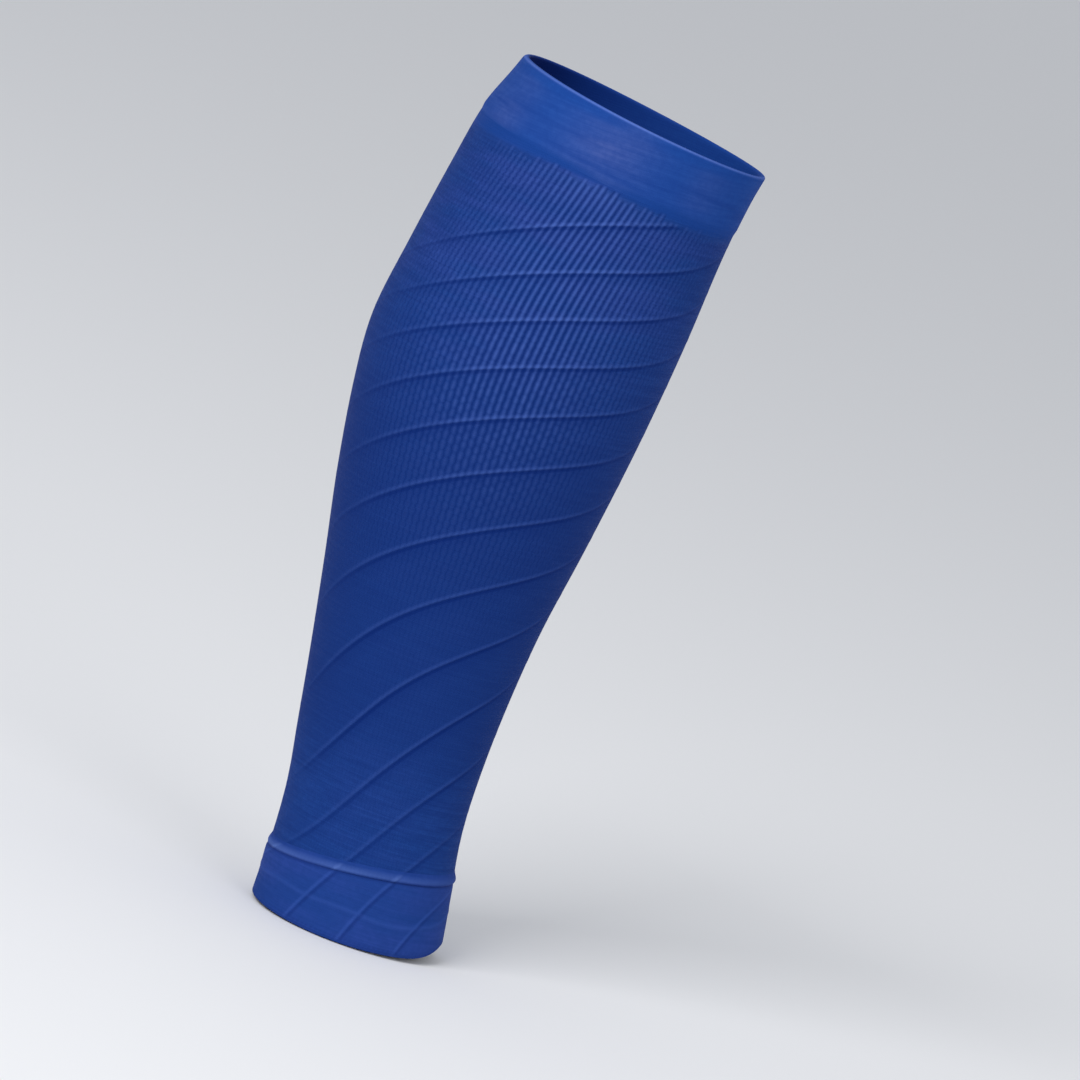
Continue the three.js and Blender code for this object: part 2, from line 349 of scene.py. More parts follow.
# The ribs stand out most on both flanks of the calf. They are pulled back a little over the calf
# and lean forward above it. They end raggedly at a smooth collar under the band: its depth and how
# far down it is darker both change round the leg. Its own rows lie so far under the band.
RIBS = 132
COLUMNS_PER_RIB = 4
RIB_RELIEF = 0.00028
RIBS_BACK = 0.035
RIBS_BACK_RANGE = (0.15, 0.262)
RIBS_FORWARD = 0.145
RIBS_FORWARD_RANGE = (0.25, 0.325)
RIBS_ROUND_LEG = (
    (-0.95, 0.05),
    (-0.8, 0.16),
    (-0.55, 0.46),
    (-0.4, 0.56),
    (-0.15, 0.92),
    (0.2, 1),
    (0.4, 0.74),
    (0.6, 0.44),
    (0.78, 0.2),
    (0.92, 0.06),
)
RIBS_UP_LEG = ((0.12, 0.05), (0.15, 0.14), (0.17, 0.24), (0.185, 0.38), (0.2, 0.52), (0.218, 0.8), (0.24, 1))
# Columns: how far a rib's end lies from the next ones, how often that swings, and its start.
RAGGED_ENDS = ((0.0011, 2.4, 0), (0.0006, 0.71, 1))
RIB_END = 0.0012
COLLAR = ((-0.9, 0.006), (-0.6, 0.0034), (-0.3, 0.0017), (0, 0.001), (0.3, 0.0012), (0.7, 0.0016))
COLLAR_SHADE = ((-0.9, 0.0042), (-0.6, 0.003), (-0.3, 0.0015), (0, 0.001), (0.3, 0.001), (0.7, 0.0014))
COLLAR_ROWS_MM = (9.6, 8.2, 7, 6, 5.1, 4.3, 3.6, 2.9, 2.3, 1.7, 1.1, 0.5, 0)
COLLAR_ROWS = [down / 1000 for down in COLLAR_ROWS_MM]
ROWS_BETWEEN_RIDGES = 3


def below_collar(height, angle):
    return band_edge(angle) - round_leg(COLLAR, angle) - height


def rib_swing(height):
    """Turn of the ribs at a height, in radians."""
    return RIBS_FORWARD * ease(height, *RIBS_FORWARD_RANGE) - RIBS_BACK * ease(height, *RIBS_BACK_RANGE)


def rib_depth(height, angle):
    """How clearly the ribs stand out, from 0 to 1."""
    rib = np.rint((angle - rib_swing(height)) * RIBS / (2 * np.pi)) % RIBS
    ragged = sum(reach * np.sin(rib * beat + start) for reach, beat, start in RAGGED_ENDS)
    shown = round_leg(RIBS_ROUND_LEG, angle) * graph(RIBS_UP_LEG, height)
    return shown * ease(below_collar(height, angle) + ragged, 0, RIB_END)


def leg_rows(angle):
    """Heights of the tube's outer rows, from the fold up to the band: nine along each ridge, some
    between two ridges, and the last ones along the band's edge."""
    low = fold_top(angle) - TUCK
    edge = band_edge(angle) + TUCK
    bottom = int(np.ceil(np.max(RIDGE_STARTS - RIDGE_START_TURN - ridges_passed(0.0, angle))))
    top = int(np.floor(np.min(-RIDGE_START_TURN - ridges_passed(SLEEVE_LENGTH, angle))))
    foot, _ = RIDGE_PROFILE[0]
    rows = []
    for number in range(bottom, top - 1, -1):
        crown = ridge_height(number, angle)
        width = steepness(number, angle)
        rows += [crown + at * width for at, _ in RIDGE_PROFILE]
        above = ridge_height(number - 1, angle) + foot * steepness(number - 1, angle)
        for i in range(ROWS_BETWEEN_RIDGES):
            rows.append(rows[-1] + (above - rows[-1]) / (ROWS_BETWEEN_RIDGES + 1 - i))
    rows = np.clip(rows, low, edge - COLLAR_ROWS[0])
    return np.concatenate([rows, [edge - down for down in COLLAR_ROWS]])


def round_angles(columns):
    return np.linspace(0, 2 * np.pi, columns + 1)


SEWN = 1e-5
SHARPEST_SMOOTH = math.radians(62)


def knit_round(name, height, out, marks, swing=0.0):
    """Turns a flat panel of knit round the leg. height, out and each of the marks hold a row of
    numbers for each row of the panel, the last column over the first. The marks become attributes."""
    rows, columns = height.shape
    swing = np.broadcast_to(swing, height.shape)
    bpy.ops.mesh.primitive_grid_add(x_subdivisions=columns - 1, y_subdivisions=rows - 1, size=1)
    panel = bpy.context.object
    panel.name = name
    flat = np.empty(len(panel.data.vertices) * 3)
    panel.data.vertices.foreach_get("co", flat)
    flat = flat.reshape(-1, 3) + 0.5
    column = np.rint(flat[:, 0] * (columns - 1)).astype(int)
    row = np.rint(flat[:, 1] * (rows - 1)).astype(int)
    turn = column / (columns - 1)
    place, _ = on_leg(height[row, column], 2 * np.pi * turn + swing[row, column], out[row, column])
    panel.data.vertices.foreach_set("co", place.ravel())
    for mark, values in marks.items():
        attribute = panel.data.attributes.new(mark, "FLOAT", "POINT")
        attribute.data.foreach_set("value", values[row, column].astype(np.float32))
    corner = np.empty(len(panel.data.loops), int)
    panel.data.loops.foreach_get("vertex_index", corner)
    ribs_and_mm = np.stack([turn * RIBS, height[row, column] * 1000], -1)
    knit_map = panel.data.uv_layers[0]
    knit_map.name = "knit"
    knit_map.data.foreach_set("uv", ribs_and_mm[corner].ravel())
    panel.data.update()
    bpy.ops.object.mode_set(mode="EDIT")
    bpy.ops.mesh.select_all(action="SELECT")
    bpy.ops.mesh.remove_doubles(threshold=SEWN)
    bpy.ops.object.mode_set(mode="OBJECT")
    bpy.ops.object.shade_smooth_by_angle(angle=SHARPEST_SMOOTH)
    panel.select_set(False)
    return panel


def with_under(values, under):
    """Marks of the outer rows, then one number for each row under them, then the first row again."""
    under = np.broadcast_to(np.reshape(under, (-1, 1)), (len(under), values.shape[1]))
    return np.concatenate([values, under, values[:1]])


def shading_nodes(name):
    """A new material with its own node tree, and short ways to add to it."""
    material = bpy.data.materials.new(name)
    material.use_nodes = True
    tree = material.node_tree

    def fill(sockets, values):
        for socket, value in zip(sockets, values):
            if isinstance(value, bpy.types.NodeSocket):
                tree.links.new(value, socket)
            else:
                socket.default_value = value

    def maths(operation, *values):
        node = tree.nodes.new("ShaderNodeMath")
        node.operation = operation
        fill(node.inputs, values)
        return node.outputs[0]

    def times(value, *others):
        for other in others:
            value = maths("MULTIPLY", value, other)
        return value

    def vector(x, y, z):
        node = tree.nodes.new("ShaderNodeCombineXYZ")
        fill(node.inputs, [x, y, z])
        return node.outputs[0]

    def parts(of_vector):
        node = tree.nodes.new("ShaderNodeSeparateXYZ")
        fill(node.inputs, [of_vector])
        return node.outputs

    def mix(share, under, over):
        node = tree.nodes.new("ShaderNodeMix")
        node.data_type = "RGBA"
        fill([node.inputs["Factor"], node.inputs[6], node.inputs[7]], [share, under, over])
        return node.outputs[2]

    def mark(attribute):
        node = tree.nodes.new("ShaderNodeAttribute")
        node.attribute_name = attribute
        return node.outputs["Fac"]

    def noise(place, scale=1.0, detail=2.0, roughness=0.5):
        node = tree.nodes.new("ShaderNodeTexNoise")
        fill([node.inputs["Vector"], node.inputs["Scale"]], [place, scale])
        node.inputs["Detail"].default_value = detail
        node.inputs["Roughness"].default_value = roughness
        return node.outputs["Fac"]

    def between(value, start, end, low=0.0, high=1.0):
        node = tree.nodes.new("ShaderNodeMapRange")
        node.interpolation_type = "SMOOTHSTEP"
        fill(node.inputs, [value, start, end, low, high])
        return node.outputs[0]

    return material, tree, fill, maths, times, vector, parts, mix, mark, noise, between


def screen(red, green, blue):
    """A colour as a screen shows it, from 0 to 255, made linear for the shader."""
    return tuple(((c / 255 + 0.055) / 1.055) ** 2.4 for c in (red, green, blue)) + (1.0,)


# The knit's pattern, in ribs round the leg and millimetres up it. Scales of noise are per metre.
# A pair of numbers is where a noise begins to show and where it shows in full.
TURN = 2 * math.pi
WALES_PER_RIB = 2.0
BEAD_PITCH = 4.1
SHORTER_BEADS_FROM = 240.0
SHORTER_BEADS = 0.6
BEAD_NOISE = 260.0
BEAD_SHARPNESS = 1.6
BEADS_LOW = 230.0
BEADS_HIGH = 262.0
BEAD_GAP_LOW = 0.62
BEAD_GAP_HIGH = 0.22
GAPS_WHOLE_BELOW = 0.3
CLEAR_RIB_GAP = 0.35
LUMPS_PER_RIB = 7.3
LUMPS_UP = 0.16
STREAK_NOISE = 40
STREAKS_UP = 0.8
STREAK_RANGE = (0.34, 0.66)
PATCHES_UP = 0.004
PATCH_RANGE = (0.38, 0.62)
MOTTLE_NOISE = 430.0
MOTTLE_RANGE = (0.35, 0.65)
MOTTLE = 0.22
CREST_HIGHLIGHT = 0.55
GROOVE_SHADE = 0.66
HIGHLIGHT_BREAKS = 0.1
HIGHLIGHT_BREAKS_ON_RIBS = 0.6
SHADE_BRIDGED = 0.5
STITCHES_LOST_ON_RIBS = 0.6
FIBRE_NOISE = 2600.0
FIBRE = 0.35
STITCH_BUMP = 0.6
KNIT_ROUGHNESS = 0.66
STREAK_ROUGHNESS = 0.08
KNIT_SPECULAR = 0.04
SHEEN = 0.03
SHEEN_ROUGHNESS = 0.4
SHEEN_TINT = (0.30, 0.30, 1.0, 1.0)


def knit_finish(name, colours, streak, stitch_relief, patch=24, least=0.0):
    """Dyed nylon knit: fine stitches, streaks along the courses, ribs and ridges, with painted highlights on
    the rib crests, ridges and rims, and painted shade in the rib grooves, under the ridges and on the inner
    face. streak is how strong the streaks are, patch how small the dye's patches, least their least share."""
    material, tree, fill, maths, times, vector, parts, mix, mark, noise, between = shading_nodes(name)
    shader = tree.nodes["Principled BSDF"]
    knit_map = tree.nodes.new("ShaderNodeUVMap")
    knit_map.uv_map = "knit"
    rib, up, _ = parts(knit_map.outputs[0])
    where = tree.nodes.new("ShaderNodeTexCoord").outputs["Object"]
    x, y, _ = parts(where)
    ribbed = mark("rib_depth")

    # Plain stitches, two to a rib and about a millimetre high, each a small V
    wale = maths("FRACT", times(rib, WALES_PER_RIB))
    slope = maths("ABSOLUTE", maths("SUBTRACT", wale, 0.5))
    course = times(maths("ADD", up, slope), TURN)
    stitch = maths("MULTIPLY_ADD", maths("COSINE", course), 0.5, 0.5)

    # Ribs, broken into beads that lie half a bead apart from rib to rib and break up more lower down
    groove_share = maths("MULTIPLY_ADD", maths("COSINE", times(rib, TURN)), -0.5, 0.5)
    on_rib = maths("SUBTRACT", 1.0, groove_share)
    number = maths("FLOOR", maths("ADD", rib, 0.5))
    upper = maths("MAXIMUM", maths("SUBTRACT", up, SHORTER_BEADS_FROM), 0.0)
    bead_turn = times(maths("ADD", up, times(upper, SHORTER_BEADS)), 1 / BEAD_PITCH)
    bead_turn = maths("ADD", maths("MULTIPLY_ADD", number, 0.5, bead_turn), noise(where, BEAD_NOISE, 1.0))
    bead = maths("MULTIPLY_ADD", maths("COSINE", times(bead_turn, TURN)), 0.5, 0.5)
    gap = maths("POWER", maths("SUBTRACT", 1.0, bead), BEAD_SHARPNESS)
    gap_up_leg = between(up, BEADS_LOW, BEADS_HIGH, BEAD_GAP_LOW, BEAD_GAP_HIGH)
    gap = times(gap, gap_up_leg, between(ribbed, GAPS_WHOLE_BELOW, 1.0, 1.0, CLEAR_RIB_GAP))
    lumps = vector(times(number, LUMPS_PER_RIB), times(up, LUMPS_UP), 0.0)
    uneven = maths("ADD", noise(lumps, detail=1.0), 0.5)
    crest = times(on_rib, maths("SUBTRACT", 1.0, gap))

    # Streaks along the courses, and wide patches where the dye took differently
    along = vector(times(x, STREAK_NOISE), times(y, STREAK_NOISE), times(up, STREAKS_UP))
    streaks = between(noise(along, detail=3.0, roughness=0.6), *STREAK_RANGE)
    wide = vector(times(x, patch), times(y, patch), times(up, patch * PATCHES_UP))
    patches = between(noise(wide), *PATCH_RANGE)
    patches = maths("MULTIPLY_ADD", patches, 1.0 - least, least)
    patches = times(patches, maths("SUBTRACT", 1.0, mark("even")))
    mottle = times(between(noise(where, MOTTLE_NOISE, 1.0), *MOTTLE_RANGE), MOTTLE)

    # From the plain dyed yarn up to the ridges, each over the one before
    colour = mix(patches, colours["yarn"], colours["violet"])
    colour = mix(times(streaks, streak), colour, colours["shade"])
    colour = mix(mottle, colour, colours["shade"])
    colour = mix(mark("dim"), colour, colours["shade"])
    colour = mix(mark("plain"), colour, colours["plain"])
    speck = maths("ABSOLUTE", maths("SUBTRACT", groove_share, bead))
    colour = mix(times(speck, mark("speckle")), colour, colours["groove"])
    # Painted highlight on the rib crests and painted shade in the rib grooves
    colour = mix(times(crest, ribbed, times(uneven, CREST_HIGHLIGHT)), colour, colours["light"])
    colour = mix(times(maths("SUBTRACT", 1.0, crest), ribbed, GROOVE_SHADE), colour, colours["groove"])
    # Painted highlight along the ridges, rims and rolls, broken over the rib grooves, and painted shade
    # under them, weaker on the rib crests
    dip = times(groove_share, maths("MULTIPLY_ADD", ribbed, -HIGHLIGHT_BREAKS_ON_RIBS, -HIGHLIGHT_BREAKS))
    colour = mix(times(mark("ridge_light"), maths("ADD", dip, 1.0)), colour, colours["light"])
    bridged = times(on_rib, ribbed, -SHADE_BRIDGED)
    colour = mix(times(mark("ridge_dark"), maths("ADD", bridged, 1.0)), colour, colours["groove"])
    # Painted shade on the inner face
    colour = mix(mark("inside"), colour, colours["inside"])
    fill([shader.inputs["Base Color"]], [colour])

    bump = tree.nodes.new("ShaderNodeBump")
    bump.inputs["Strength"].default_value = STITCH_BUMP
    bump.inputs["Distance"].default_value = stitch_relief
    stitch = times(stitch, maths("MULTIPLY_ADD", ribbed, -STITCHES_LOST_ON_RIBS, 1.0))
    fill([bump.inputs["Height"]], [maths("MULTIPLY_ADD", noise(where, FIBRE_NOISE), FIBRE, stitch)])
    fill([shader.inputs["Normal"]], [bump.outputs[0]])
    roughness = maths("MULTIPLY_ADD", streaks, STREAK_ROUGHNESS, KNIT_ROUGHNESS)
    fill([shader.inputs["Roughness"]], [roughness])
    shader.inputs["Specular IOR Level"].default_value = KNIT_SPECULAR
    shader.inputs["Sheen Weight"].default_value = SHEEN
    shader.inputs["Sheen Roughness"].default_value = SHEEN_ROUGHNESS
    shader.inputs["Sheen Tint"].default_value = SHEEN_TINT
    return material


# The rows are read at the angles that the swung ribs have there, which settles after a few rounds.
INNER_ROWS = 12
INNER_RIBS = 0.3
SWING_ROUNDS = 6
SWING_MARGIN = 0.1
FINE_COLUMNS = 3601
RIDGE_INTO_COLLAR = (-0.0005, 0.003)
RIDGE_DIPS = 0.4
wide_angle = np.linspace(-SWING_MARGIN, 1 + SWING_MARGIN, FINE_COLUMNS) * 2 * np.pi
wide_rows = leg_rows(wide_angle)
column_angle = round_angles(RIBS * COLUMNS_PER_RIB)
leg_angle = [column_angle] * len(wide_rows)
for _ in range(SWING_ROUNDS):
    outer = np.array([np.interp(angles, wide_angle, row) for angles, row in zip(leg_angle, wide_rows)])
    leg_angle = column_angle + rib_swing(outer)
ribbed = rib_depth(outer, leg_angle)
crest = np.cos(column_angle * RIBS)
from_ridge = ridge_distance(outer, leg_angle)
under_collar = below_collar(outer, leg_angle)
kept = ease(under_collar, *RIDGE_INTO_COLLAR)
kept = kept * ridge_strength(leg_angle) * clear_of_band(outer, leg_angle)
kept = kept * (RIDGE_AT_ANKLE + (1 - RIDGE_AT_ANKLE) * ease(outer, *ABOVE_ANKLE))
beaded = 1 - RIDGE_DIPS * ribbed * (0.5 - 0.5 * crest)
outer_out = RIB_RELIEF * ribbed * (crest - 1) / 2
outer_out = outer_out + kept * beaded * graph(RIDGE_PROFILE, from_ridge)
inner = np.linspace(outer[-1], outer[0], INNER_ROWS + 1)
leg_height = np.concatenate([outer, inner, outer[:1]])
leg_out = np.concatenate([outer_out, np.full(inner.shape, -LEG_WALL), outer_out[:1]])

# The ridges have a painted highlight along the crown, strongest where the ribs are, and a line of painted
# shade under them everywhere. A patch of painted light lies under the band on the flank. The knit is darker
# in the collar. It is darker on the shank, where it is stretched less, and a little darker low down; both
# are partly painted shade. It is bluer low down, at the back and towards the shin, and the inner face has
# painted shade. A pair of numbers is where a change begins and where it is complete: two heights up the leg,
# two depths under the collar or the band, or two cosines round the leg.
HIGHLIGHT_UP_LEG = ((0.19, 0.19), (0.24, 0.12))
HIGHLIGHT_ROUND_LEG = ((-0.7, 0.2), (-0.4, 0.4), (-0.15, 1), (0.35, 1), (0.6, 0.6))
HIGHLIGHT_ACROSS_RIDGE = ((-0.0006, 0), (0.0, 1), (0.0004, 0.85), (0.0013, 0))
SHADE_ACROSS_RIDGE = ((-0.0025, 0), (-0.0015, 1), (-0.0008, 1), (-0.0003, 0))
PLAIN_ROUND_LEG = ((-0.3, 0.85), (0.05, 0.5), (0.4, 0.8))
HIGHLIGHT_ON_RIBS = 0.46
MORE_ON_UPPER_RIBS = 0.18
UPPER_RIBS = (0.21, 0.26)
SHADE_OFF_RIBS = 0.88
SHADE_EASE = 0.001
PAINTED_LIGHT_PATCH = 0.24
PAINTED_LIGHT_MIDDLE = 0.02
PAINTED_LIGHT_WIDTH = 0.3
PAINTED_LIGHT_DOWN = (0.001, 0.014)
PAINTED_LIGHT_INTO_COLLAR = (-0.0005, 0.001)
SHANK_SHADE = 0.6
SHANK_BOTTOM = (0.045, 0.09)
SHANK_TOP = (0.17, 0.26)
LOWER_SHADE = 0.12
LOWER_TOP = (0.22, 0.28)
BLUE_LOW = 0.75
BLUE_LOW_TOP = (0.2, 0.28)
BLUE_SHIN = 0.5
BLUE_SHIN_FROM = (0.3, 0.9)
BLUE_BACK = 0.3
BLUE_BACK_FROM = (0.3, 0.8)
BLUE_BACK_TOP = (0.24, 0.29)
BLUEST = 0.9
SPECKLE = 0.5
SPECKLE_BELOW = 0.4
SPECKLE_UP_LEG = (0.11, 0.17)
SPECKLE_INTO_COLLAR = (0, 0.002)

flank = np.cos(leg_angle)
on_ribs = HIGHLIGHT_ON_RIBS + MORE_ON_UPPER_RIBS * ease(outer, *UPPER_RIBS)
on_ribs = on_ribs * ribbed * graph(HIGHLIGHT_ROUND_LEG, flank)
ridge_light = (graph(HIGHLIGHT_UP_LEG, outer) + on_ribs) * graph(HIGHLIGHT_ACROSS_RIDGE, from_ridge)
ridge_dark = SHADE_OFF_RIBS + (1 - SHADE_OFF_RIBS) * ribbed
ridge_dark = ridge_dark * graph(SHADE_ACROSS_RIDGE, from_ridge)
below_band = band_edge(leg_angle) - outer
painted_light_patch = hill(flank, PAINTED_LIGHT_MIDDLE, PAINTED_LIGHT_WIDTH) * (1 - ease(below_band, *PAINTED_LIGHT_DOWN))
painted_light_patch = PAINTED_LIGHT_PATCH * painted_light_patch * ease(under_collar, *PAINTED_LIGHT_INTO_COLLAR)
shade_reach = graph(COLLAR_SHADE, flank)
collar = 1 - ease(below_band, shade_reach - SHADE_EASE, shade_reach + SHADE_EASE)
shank = ease(outer, *SHANK_BOTTOM) * (1 - ease(outer, *SHANK_TOP))
bluer = BLUE_LOW * (1 - ease(outer, *BLUE_LOW_TOP)) + BLUE_SHIN * ease(flank, *BLUE_SHIN_FROM)
bluer = bluer + BLUE_BACK * ease(-flank, *BLUE_BACK_FROM) * (1 - ease(outer, *BLUE_BACK_TOP))
speckle = SPECKLE_BELOW + (1 - SPECKLE_BELOW) * ease(outer, *SPECKLE_UP_LEG)
leg_marks = {
    "ridge_light": np.maximum(kept * ridge_light, painted_light_patch),
    "ridge_dark": kept * ridge_dark,
    "dim": SHANK_SHADE * shank + LOWER_SHADE * (1 - ease(outer, *LOWER_TOP)),
    "plain": collar * graph(PLAIN_ROUND_LEG, flank),
    "even": np.minimum(bluer, BLUEST),
    "speckle": SPECKLE * ease(under_collar, *SPECKLE_INTO_COLLAR) * speckle,
}
leg_marks = {mark: with_under(values, [0.0] * len(inner)) for mark, values in leg_marks.items()}
leg_marks["rib_depth"] = with_under(ribbed, [INNER_RIBS] * len(inner))
leg_marks["inside"] = with_under(0 * outer, [1.0] * len(inner))
leg_tube = knit_round("ribbed_leg_tube", leg_height, leg_out, leg_marks, rib_swing(leg_height))

# light is the colour of the painted highlights, groove that of the painted shade in the rib grooves and
# under the ridges and of the small dark specks, and the inner face's colour is painted shade
LEG_COLOURS = {
    "yarn": screen(26, 61, 129),
    "violet": screen(40, 63, 135),
    "shade": screen(18, 45, 108),
    "groove": screen(5, 33, 97),
    "light": screen(67, 94, 166),
    "plain": screen(19, 58, 130),
    "inside": screen(21, 52, 120),
}
leg_tube.data.materials.append(knit_finish("ribbed_knit", LEG_COLOURS, streak=0.5, stitch_relief=0.00008))
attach(leg_tube, "root")
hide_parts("leg_tube")


# The knee band
# The doubled welt that grips below the knee: a close smooth knit, turned over at the rim and
# caught at its lower edge. The panel runs up the outside, over the fold and down the inside.
KNEE_DIP = 0.0005
BAND_WALL = 0.0024
BAND_PROUD = 0.0004
BAND_COLUMNS = 300
BAND_ROWS = 22
FOLD_STEPS = 10

# The lower edge bulges out of the tube: shares of this height and of how far the band stands proud.
EDGE_ROUND = 0.0032
EDGE_ROWS = ((0, -0.07), (0.1, 0.03), (0.25, 0.16), (0.45, 0.42), (0.65, 0.72), (0.85, 0.93), (1, 1))


def knee_rim(angle):
    return slanted(SLEEVE_LENGTH, -KNEE_SLANT, angle) - KNEE_DIP * np.sin(angle) ** 2


def half_round(middle, outside, inner_side, up):
    """A folded edge from the outer face to the inner one: its heights and its outs."""
    turns = np.linspace(0, np.pi, FOLD_STEPS + 1)
    radius = (outside - inner_side) / 2
    heights = [middle + up * radius * np.sin(turn) for turn in turns]
    outs = [(outside + inner_side) / 2 + radius * np.cos(turn) for turn in turns]
    return heights, outs


band_angle = round_angles(BAND_COLUMNS)
band_low = band_edge(band_angle)
band_high = knee_rim(band_angle) - BAND_WALL / 2
band_inner_out = BAND_PROUD - BAND_WALL
rim_heights, rim_outs = half_round(band_high, BAND_PROUD, band_inner_out, 1)
shares = np.linspace(0, 1, BAND_ROWS + 1)[1:-1]
band_height = [band_low + rise * EDGE_ROUND for rise, _ in EDGE_ROWS]
band_out = [proud * BAND_PROUD for _, proud in EDGE_ROWS]
band_height += [band_low + EDGE_ROUND + share * (band_high - band_low - EDGE_ROUND) for share in shares]
band_out += [BAND_PROUD] * len(shares)
rim_start = len(band_height)
band_height += rim_heights
band_out += rim_outs
outside_rows = len(band_height)
band_height += [band_high + share * (band_low - band_high) for share in shares] + [band_low, band_low]
band_out += [band_inner_out] * (len(shares) + 1) + [band_out[0]]
band_height = np.array(band_height)
band_out = np.array(band_out)[:, None] + 0 * band_height

# Painted highlight along the rim's outer side and painted shade down its inner side, row by row over the
# fold. The painted shade inside is deepest at the calf muscle and least towards the shin.
RIM_HIGHLIGHT = (0, 0.25, 1, 1, 0.4, 0.1, 0)
RIM_INNER_SHADE = (0.3, 0.6, 0.9, 1, 1)
RIM_HIGHLIGHT_ROUND_LEG = ((-1, 0.7), (-0.5, 0.85), (0, 1), (0.5, 0.8), (1, 0.6))
INNER_SHADE_ROUND_LEG = ((-1, 1), (-0.6, 0.8), (0.1, 0.5), (0.8, 0.25))
rim_highlight = np.zeros(band_height.shape)
rim_highlight[rim_start:rim_start + len(RIM_HIGHLIGHT)] = np.array(RIM_HIGHLIGHT)[:, None]
rim_highlight = rim_highlight * round_leg(RIM_HIGHLIGHT_ROUND_LEG, band_angle)
band_inner_shade = np.zeros(band_height.shape)
band_inner_shade[outside_rows:] = 1
band_inner_shade[outside_rows - len(RIM_INNER_SHADE):outside_rows] = np.array(RIM_INNER_SHADE)[:, None]
band_inner_shade = band_inner_shade * round_leg(INNER_SHADE_ROUND_LEG, band_angle)

# Thin dark courses above the band's lower edge: height, how often each comes and goes, its start
DARK_COURSES = ((0.0045, 3, 0.4), (0.0078, 5, 2.0), (0.0112, 4, 4.4))
COURSE_WAVE = 0.0007
COURSE_WIDTH = 0.0009
COURSE_DARK = 0.3
band_above = band_height - band_low
band_dim = 0 * band_height
for rise, turns, start in DARK_COURSES:
    line = rise + COURSE_WAVE * np.sin(2 * band_angle + start)
    strength = COURSE_DARK * (1 + np.sin(turns * band_angle + start))
    band_dim = np.maximum(band_dim, strength * hill(band_above, line, COURSE_WIDTH))

# The lowest courses are as plain and dark as the collar under them, up to this height
BAND_PLAIN = ((-0.9, 0.0003), (-0.6, 0.001), (-0.3, 0.0015), (0, 0.0015), (0.5, 0.0025))
PLAIN_FADES_FROM = -0.0012
PLAIN_FADES_TO = 0.0016
plain_reach = round_leg(BAND_PLAIN, band_angle)
band_plain = 1 - ease(band_above, plain_reach + PLAIN_FADES_FROM, plain_reach + PLAIN_FADES_TO)
band_plain = band_plain * round_leg(PLAIN_ROUND_LEG, band_angle)

# Violet where the dye took more: a narrow patch at the back, a wide one on the flank and a faint
# one in front, and little close to the rim but over the wide patch. Columns: how violet, and the
# middle and the width of the patch as cosines round the leg.
VIOLET_PATCHES = ((0.65, -0.82, 0.14), (1, -0.12, 0.33), (0.3, 0.66, 0.15))
VIOLET_AT_RIM_MIDDLE = 0.08
VIOLET_AT_RIM_WIDTH = 0.2
UNDER_RIM = (0.0015, 0.005)
RIM_EVEN = 0.9
RIM_ROWS_INSIDE = 3
band_flank = np.cos(band_angle)
violet = sum(share * hill(band_flank, middle, width) for share, middle, width in VIOLET_PATCHES)
off_flank = 1 - hill(band_flank, VIOLET_AT_RIM_MIDDLE, VIOLET_AT_RIM_WIDTH)
near_rim = (1 - ease(band_high - band_height, *UNDER_RIM)) * off_flank
band_even = 1 - np.clip(violet, 0, 1) * (1 - RIM_EVEN * near_rim)
band_even[outside_rows - RIM_ROWS_INSIDE:] = 1

band_marks = {
    "ridge_light": rim_highlight,
    "dim": band_dim,
    "plain": band_plain,
    "even": band_even,
    "inside": band_inner_shade,
}
knee_band = knit_round("knee_welt", band_height, band_out, band_marks)

# light is the colour of the rim's painted highlight, and the inner face's colour is painted shade
BAND_COLOURS = {
    "yarn": screen(25, 67, 142),
    "violet": screen(62, 82, 147),
    "shade": screen(20, 55, 128),
    "groove": screen(15, 42, 110),
    "light": screen(80, 107, 181),
    "plain": screen(19, 58, 130),
    "inside": screen(8, 32, 98),
}
knee_band.data.materials.append(
    knit_finish("band_knit", BAND_COLOURS, streak=0.35, stitch_relief=0.00004, patch=20, least=0.55)
)
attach(knee_band, "root")
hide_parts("knee_band")


# The ankle fold
# The rolled line above the cuff, where the doubled hem is turned and caught. It swells gently from
# above and drops steeply to the cuff. The spiral ridges run on over it as small knots.
FOLD_PROUD = 0.0012
ROLL_ROWS = 14
ANKLE_COLUMNS = 480
KNOT = 0.8
KNOT_HIGHLIGHT = 0.45

# Up the fold the places are shares of its height. Across a knot they are distances from the ridge.
ROLL_PROFILE = ((0, 0.12), (0.08, 0.5), (0.18, 0.7), (0.34, 0.78), (0.55, 0.58), (0.78, 0.22), (1, 0.03))
ROLL_HIGHLIGHT = ((0.04, 0), (0.28, 1), (0.45, 0.75), (0.8, 0))
ROLL_SHADE = ((0, 0.5), (0.08, 0.3), (0.25, 0))
ROLL_HIGHLIGHT_ROUND_LEG = ((-1, 0.8), (-0.85, 0.64), (-0.5, 0.46), (-0.1, 0.6), (0.5, 0.38), (1, 0.25))
HIGHLIGHT_ACROSS_KNOT = ((-0.0007, 0), (0.0001, 1), (0.0006, 0.8), (0.0014, 0))

ankle_angle = round_angles(ANKLE_COLUMNS)
fold_low = cuff_top(ankle_angle)
fold_high = fold_top(ankle_angle)
roll = np.linspace(0, 1, ROLL_ROWS + 1)[:, None]
fold_height = fold_low + roll * (fold_high - fold_low)
fold_from_ridge = ridge_distance(fold_height, ankle_angle)
fold_out = FOLD_PROUD * graph(ROLL_PROFILE, roll) + KNOT * graph(RIDGE_PROFILE, fold_from_ridge)
